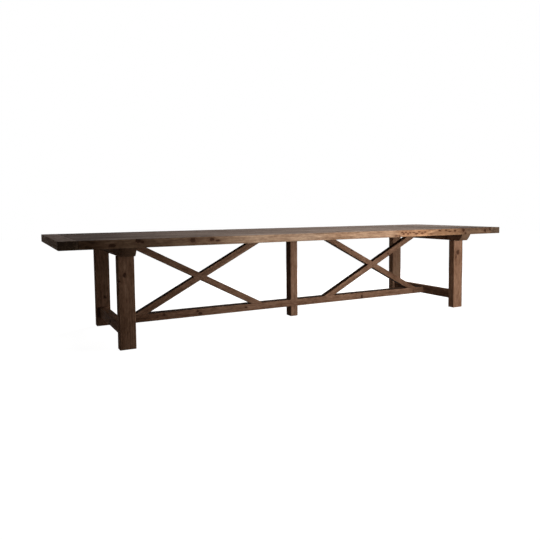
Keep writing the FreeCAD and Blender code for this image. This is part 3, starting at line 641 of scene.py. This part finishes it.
def bearerEnds():  # planes that follow the slanted, slightly rounded ends
    tip = Vector((trestles["bearerTip"], trestles["bearerTop"]))
    foot = Vector((trestles["bearerTip"] - trestles["bearerSlant"], trestles["bearerBottom"]))
    outward = Vector((foot[1] - tip[1], tip[0] - foot[0])).normalized() * -1
    count = trestles["bearerFacets"]
    curve = []
    for share in (number / count for number in range(count + 1)):
        curve.append(tip.lerp(foot, share) + outward * trestles["bearerBulge"] * 4 * share * (1 - share))
    planes = []
    for way in (-1, 1):
        for upper, lower in zip(curve, curve[1:]):
            face = Vector((upper[1] - lower[1], lower[0] - upper[0]))
            planes.append(((0, way * upper[0], upper[1]), (0, way * face[0], face[1])))
    return planes


for side, sideWord in ((-1, "left"), (1, "right")):
    middleX = side * trestles["middleX"]
    for way, wayWord in ((-1, "front"), (1, "back")):
        label = wayWord + "_" + sideWord
        makeTimber(
            "leg" + wayWord.capitalize() + sideWord.capitalize(), ["leg_" + label], grainTurns["z"],
            (middleX, way * trestles["legY"], trestles["legHeight"] / 2),
            (trestles["legHeight"], trestles["legWidth"], trestles["legDepth"]), baseTimber, "base_timber",
            stepAlong=trestles["legStep"], stepAcross=trestles["legStep"], arris=trestles["legArris"],
            easedEnds=(-1,), tone=trestles["legTones"][label], warmth=trestles["legWarmth"],
            pith=(trestles["legPith"][0] * side, trestles["legPith"][1] * way),
            knots=trestles["legKnots"][label],
            faceStains=[(1, -1, trestles["legWarmth"], *trestles["legDirt"])],
            checks=[(1, -side, trestles["legCheck"][0] * way, *trestles["legCheck"][1:])])

    middleZ, height = middleAndHeight(trestles["bearerBottom"], trestles["bearerTop"])
    makeTimber(
        "bearer" + sideWord.capitalize(), ["bearer_" + sideWord], grainTurns["y"], (middleX, 0, middleZ),
        (2 * trestles["bearerTip"], height, trestles["bearerWidth"]), baseTimber, "base_timber",
        clips=bearerEnds(), waviness=trestles["calm"], tone=trestles["bearerTone"],
        pith=(trestles["bearerPith"][0], trestles["bearerPith"][1] * side),
        strayKnots=trestles["bearerKnots"],
        cutters=[(Matrix.Translation((middleX, y, trestles["bearerBottom"])), trestles["screwPocket"])
                 for y in trestles["screwYs"]])

    middleZ, height = middleAndHeight(trestles["crossBottom"], trestles["crossTop"])
    outerX = side * (trestles["middleX"] + trestles["crossThickness"] / 2)
    sideways = Matrix.Rotation(math.pi / 2, 4, "Y")
    makeTimber(
        "crossStretcher" + sideWord.capitalize(), ["cross_stretcher_" + sideWord], grainTurns["y"],
        (middleX, 0, middleZ), (2 * trestles["crossHalf"], height, trestles["crossThickness"]),
        baseTimber, "base_timber", easedEnds=(), waviness=trestles["calm"],
        tone=trestles["crossTonesAndShade"][side], pith=(trestles["crossPith"][0], trestles["crossPith"][1] * side),
        cutters=[(Matrix.Translation((outerX, way * trestles["boltY"], trestles["boltZ"])) @ sideways,
                  trestles["counterbore"]) for way in (-1, 1)])
print("trestles made")


# The frame between them

middleFrame = {
    "halfDepth": 0.043, "stretcherHalf": 1.534, "stretcherBottom": 0.090, "stretcherTop": 0.151,
    "stretcherTone": 0.61, "stretcherPith": (-0.075, -0.04),
    # The first stretcher stain, darkening its left half, is painted shade where the light falls off; the
    # second is a stain.
    "stretcherStainsAndShade": [(-1.30, 0.60, -0.30, 0.1), (1.40, 0.14, -0.06, 0.1)],
    "stretcherChecks": [(1, -1, -0.012, 0.60, 0.98, 0.003, 0.004)],
    "stretcherKnots": [  # on its front: x, z, radius, length to width, and reach
        (-1.185, 0.131, 0.009, 1.3, 0.05), (-0.905, 0.132, 0.009, 1.2, 0.05),
        (-0.884, 0.112, 0.013, 1.2, 0.05), (-0.474, 0.122, 0.006, 1.6, 0.04),
        (0.746, 0.112, 0.018, 0.5, 0.04), (0.753, 0.100, 0.009, 0.8, 0.04),
        (1.392, 0.116, 0.008, 0.6, 0.03)],
    "postWidth": 0.070, "postStep": 0.012, "postTone": 0.65, "postPith": (0.05, 0.07),
    "railBottom": 0.672, "railTop": 0.710, "railHalf": 1.5395, "railTone": 0.46, "calm": 0.0004,
    "strayKnots": {"stretcher": 4, "post": 1, "rail": 4, "brace": 1},
    # Painted shade, mixed towards the dirt colour: on the upper faces under the top, on the braces'
    # undersides and on the post's left face.
    "shadeUnderTop": (0.0, -0.5, 0.65), "undersideShade": (0.0, -0.3, 0.45), "postLeftShade": (0.0, -0.25, 0.2),
    "braceWidth": 0.052, "braceDepth": 0.060, "lapY": -0.013,
    "braceFeet": (0.368, 1.371), "braceHeads": (0.395, 1.365),
    "braceSpare": 0.12,  # sawn longer than it is between foot and head, and then cut level
    "bracePith": (0.045, 0.05), "braceRubbed": 0.3,
    "braceTones": {"left_rising": 0.60, "left_falling": 0.57, "right_rising": 0.61, "right_falling": 0.58},
    "braceKnots": {"right_falling": [(0.628, 0.566, 0.006, 1.3, 0.04)],
                   "right_rising": [(1.065, 0.514, 0.008, 1.3, 0.04)],
                   "left_falling": [], "left_rising": []},
}
depth = 2 * middleFrame["halfDepth"]
slack = tooling["slack"]


def frontMarks(knots):  # knots on the front of the middle frame
    return [((x, -middleFrame["halfDepth"], z), radius, stretch, reach)
            for x, z, radius, stretch, reach in knots]


middleZ, height = middleAndHeight(middleFrame["stretcherBottom"], middleFrame["stretcherTop"])
crossing = Matrix.Translation((0, 0, middleZ))
makeTimber(
    "longStretcher", ["long_stretcher"], grainTurns["x"], (0, 0, middleZ),
    (2 * middleFrame["stretcherHalf"], depth, height), baseTimber, "base_timber", easedEnds=(),
    tone=middleFrame["stretcherTone"], pith=middleFrame["stretcherPith"],
    knots=frontMarks(middleFrame["stretcherKnots"]), strayKnots=middleFrame["strayKnots"]["stretcher"],
    checks=middleFrame["stretcherChecks"], stains=middleFrame["stretcherStainsAndShade"],
    faceStains=[(2, 1, *middleFrame["shadeUnderTop"])],
    cutters=[(crossing @ Matrix.Translation((0, depth / 2, 0)),
              (middleFrame["postWidth"] + slack, depth, 2 * height))])
makeTimber(
    "centrePost", ["centre_post"], grainTurns["z"], (0, 0, middleFrame["railBottom"] / 2),
    (middleFrame["railBottom"], middleFrame["postWidth"], depth), baseTimber, "base_timber", easedEnds=(-1,),
    stepAlong=middleFrame["postStep"], stepAcross=middleFrame["postStep"],
    tone=middleFrame["postTone"], pith=middleFrame["postPith"], strayKnots=middleFrame["strayKnots"]["post"],
    faceStains=[(1, -1, *middleFrame["postLeftShade"])],
    cutters=[(crossing @ Matrix.Translation((0, -depth / 2, 0)),
              (2 * middleFrame["postWidth"], depth, height + slack))])
middleZ, height = middleAndHeight(middleFrame["railBottom"], middleFrame["railTop"])
makeTimber(
    "topRail", ["top_rail"], grainTurns["x"], (0, 0, middleZ), (2 * middleFrame["railHalf"], depth, height),
    baseTimber, "base_timber", easedEnds=(), waviness=middleFrame["calm"], tone=middleFrame["railTone"],
    strayKnots=middleFrame["strayKnots"]["rail"])

bottom, top = middleFrame["stretcherTop"], middleFrame["railBottom"]
thick = middleFrame["braceDepth"]
for side, sideWord in ((-1, "left"), (1, "right")):
    feet = sorted(side * x for x in middleFrame["braceFeet"])
    heads = sorted(side * x for x in middleFrame["braceHeads"])
    stands = {}
    for lean, footX, headX in (("rising", feet[0], heads[1]), ("falling", feet[1], heads[0])):
        foot, head = Vector((footX, middleFrame["lapY"], bottom)), Vector((headX, middleFrame["lapY"], top))
        run = (head - foot).normalized()
        turn = Matrix((run, Vector((0, 1, 0)).cross(run), Vector((0, 1, 0)))).transposed()
        stands[lean] = ((foot + head) / 2, (head - foot).length, turn)
    for lean, other, way in (("rising", "falling", 1), ("falling", "rising", -1)):
        label = sideWord + "_" + lean
        centre, length, turn = stands[lean]
        otherCentre, otherLength, otherTurn = stands[other]
        lap = Matrix.Translation(otherCentre + Vector((0, way * thick / 2, 0))) @ otherTurn.to_4x4()
        makeTimber(
            "brace" + sideWord.capitalize() + lean.capitalize(), ["brace_" + label], turn, centre,
            (length + middleFrame["braceSpare"], middleFrame["braceWidth"], thick),
            baseTimber, "base_timber",
            clips=[((0, 0, bottom), (0, 0, -1)), ((0, 0, top), (0, 0, 1))], easedEnds=(),
            rubbed=middleFrame["braceRubbed"], tone=middleFrame["braceTones"][label],
            faceStains=[(1, -1, *middleFrame["shadeUnderTop"]), (1, 1, *middleFrame["undersideShade"])],
            pith=middleFrame["bracePith"], knots=frontMarks(middleFrame["braceKnots"][label]),
            strayKnots=middleFrame["strayKnots"]["brace"],
            cutters=[(lap, (otherLength, middleFrame["braceWidth"] + slack, thick))])
print("middle frame made")


# Pegs and fasteners, which keep their solids

pegLook = {"dark": "#3E2819", "light": "#7A563B", "lightSpan": (0.12, 0.42),
           "grainScale": 260, "blotchScale": 60, "roughness": 0.62, "specular": 0.2, "bump": (0.5, 0.0004)}
steelLook = {"black": "#2B2724", "bloom": "#4A3B31", "bloomScale": 420, "bloomSpan": (0.35, 0.7),
             "roughness": (0.38, 0.62), "bump": (0.3, 0.0002)}


def makePegFinish():
    # Riven hardwood, dipped in the same stain: darker than the pine, its cut end open and dull.
    material = bpy.data.materials.new("stainedOakPeg")
    add = startNodes(material)
    place = add("TexCoord", output="Object")
    grain = add("TexNoise", {"Vector": place, "Scale": pegLook["grainScale"], "Detail": 3.0}, "Fac")
    blotch = add("TexNoise", {"Vector": place, "Scale": pegLook["blotchScale"], "Detail": 2.0}, "Fac")
    share = add("Math", {0: grain, 1: blotch}, operation="MULTIPLY")
    first, last = pegLook["lightSpan"]
    share = add("MapRange", {0: share, 1: first, 2: last})
    dark, light = toLinear(pegLook["dark"]), toLinear(pegLook["light"])
    colour = add("Mix", {0: share, 6: dark, 7: light}, 2, data_type="RGBA")
    strength, deep = pegLook["bump"]
    bump = add("Bump", {"Height": grain, "Strength": strength, "Distance": deep})
    shader = add("BsdfPrincipled", {"Base Color": colour, "Roughness": pegLook["roughness"],
                                    "Specular IOR Level": pegLook["specular"], "Normal": bump})
    add("OutputMaterial", {0: shader}, None)
    return material


def makeSteelFinish():
    # Mild steel, blackened hot in oil: near black, with a brown bloom that dulls it in patches.
    material = bpy.data.materials.new("blackenedSteel")
    add = startNodes(material)
    place = add("TexCoord", output="Object")
    bloom = add("TexNoise", {"Vector": place, "Scale": steelLook["bloomScale"], "Detail": 3.0}, "Fac")
    first, last = steelLook["bloomSpan"]
    share = add("MapRange", {0: bloom, 1: first, 2: last})
    black, brown = toLinear(steelLook["black"]), toLinear(steelLook["bloom"])
    colour = add("Mix", {0: share, 6: black, 7: brown}, 2, data_type="RGBA")
    smooth, rough = steelLook["roughness"]
    rough = add("MapRange", {0: bloom, 1: noiseSpan[0], 2: noiseSpan[1], 3: smooth, 4: rough})
    strength, deep = steelLook["bump"]
    bump = add("Bump", {"Height": bloom, "Strength": strength, "Distance": deep})
    shader = add("BsdfPrincipled", {"Base Color": colour, "Roughness": rough, "Metallic": 1.0,
                                    "Normal": bump})
    add("OutputMaterial", {0: shader}, None)
    return material


pegFinish, steelFinish = makePegFinish(), makeSteelFinish()
for nodeName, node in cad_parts.items():
    if nodeName.endswith(("pegs", "peg")):
        node.material_slots[0].material = pegFinish
    elif nodeName.endswith(("screws", "bolts", "washers", "nuts")):
        node.material_slots[0].material = steelFinish
print("pegs and fasteners finished")


# Floor, light and camera

studio = {
    "floorSize": 30.0, "floorColour": "#BDBAB6",
    "floorBounce": "#5A5856",  # what the table gets back from the floor
    "glow": (0.97, 1.0), "glowFrom": 1.1, "glowTo": 2.2, "glowShape": (0.55, 1.0, 0.0),
    "fill": 0.042,
    "lights": {  # place, aim, size and watts, and whether gloss shows it
        "key": ((1.43, -2.16, 0.57), (0.76, -0.16, 0.24), (1.4, 0.8), 22.5, True),
        "overhead": ((0.15, -0.85, 1.13), (-0.1, 0.5, 0.75), (2.0, 1.0), 12.0, True),
        "sky": ((0.2, 0.3, 2.6), (0.2, 0.3, 0.0), (4.5, 1.6), 16.0, False),
        "back": ((2.4, 2.4, 1.8), (0.3, 0.1, 0.6), (2.0, 1.0), 75.0, False),
    },
}
cameraView = {
    "place": (-2.37118, -4.30616, 0.96936), "turn": 0.5107449, "dip": 0.0715309, "roll": -0.0070349,
    "focalPixels": 547.61, "middlePixels": (295.62, 247.24), "framePixels": 540.0, "sensor": 36.0,
}


def seesBackdrop(add):  # 1 for the camera's own rays and for those off gloss or through glass
    path = add("LightPath", output=None).outputs
    seen = add("Math", {0: path["Is Camera Ray"], 1: path["Is Glossy Ray"]}, operation="MAXIMUM")
    return add("Math", {0: seen, 1: path["Is Transmission Ray"]}, operation="MAXIMUM")


def makeFloor():
    # Matt pale studio paper. It keeps the table's soft shadow and runs to white with distance.
    bm = bmesh.new()
    bmesh.ops.create_grid(bm, x_segments=4, y_segments=4, size=studio["floorSize"] / 2)
    mesh = bpy.data.meshes.new("studioFloor")
    bm.to_mesh(mesh)
    bm.free()
    material = bpy.data.materials.new("studioPaper")
    add = startNodes(material)
    place = add("TexCoord", output="Object")
    reach = add("VectorMath", {0: place, 1: studio["glowShape"]}, operation="MULTIPLY")
    reach = add("VectorMath", {0: reach}, "Value", operation="LENGTH")
    near, far = studio["glow"]
    glow = add("MapRange", {0: reach, 1: studio["glowFrom"], 2: studio["glowTo"], 3: near, 4: far},
               interpolation_type="SMOOTHSTEP")
    seen = seesBackdrop(add)
    bounce, own = toLinear(studio["floorBounce"]), toLinear(studio["floorColour"])
    matt = add("BsdfDiffuse", {"Color": add("Mix", {0: seen, 6: bounce, 7: own}, 2, data_type="RGBA")})
    shine = add("Emission", {"Strength": add("Math", {0: glow, 1: seen}, operation="MULTIPLY")})
    add("OutputMaterial", {0: add("AddShader", {0: matt, 1: shine})}, None)
    mesh.materials.append(material)
    floor = newObject("studioFloor", mesh)


def makeWorld():
    world = bpy.data.worlds.new("studioWorld")
    bpy.context.scene.world = world
    add = startNodes(world)
    strength = add("MapRange", {0: seesBackdrop(add), 3: studio["fill"], 4: 1.0})
    add("OutputWorld", {0: add("Background", {"Color": (1, 1, 1, 1), "Strength": strength})}, None)


def hangLight(name, place, aim, size, power, shows):
    light = bpy.data.lights.new(name, "AREA")
    light.shape, light.size, light.size_y, light.energy = "RECTANGLE", size[0], size[1], power
    lamp = newObject(name, light)
    lamp.location = place
    lamp.rotation_euler = (Vector(aim) - Vector(place)).to_track_quat("-Z", "Y").to_euler()
    lamp.visible_camera = False
    lamp.visible_glossy = shows


def placeCamera():
    turn, dip, roll = cameraView["turn"], cameraView["dip"], cameraView["roll"]
    ahead = Vector((math.sin(turn) * math.cos(dip), math.cos(turn) * math.cos(dip), -math.sin(dip)))
    level = Vector((math.cos(turn), -math.sin(turn), 0))
    rise = level.cross(ahead)
    right = math.cos(roll) * level + math.sin(roll) * rise
    up = -math.sin(roll) * level + math.cos(roll) * rise
    turned = Matrix((right, up, -ahead)).transposed().to_4x4()
    camera = bpy.data.cameras.new("camera")
    pixels = cameraView["framePixels"]
    camera.sensor_width = cameraView["sensor"]
    camera.lens = cameraView["focalPixels"] * cameraView["sensor"] / pixels
    camera.shift_x = (pixels / 2 - cameraView["middlePixels"][0]) / pixels
    camera.shift_y = (cameraView["middlePixels"][1] - pixels / 2) / pixels
    stand = newObject("camera", camera)
    stand.matrix_world = Matrix.Translation(cameraView["place"]) @ turned
    bpy.context.scene.camera = stand


makeFloor()
makeWorld()
for name, settings in studio["lights"].items():
    hangLight(name, *settings)
placeCamera()
bpy.context.scene.view_settings.view_transform = "Standard"
print("studio made")
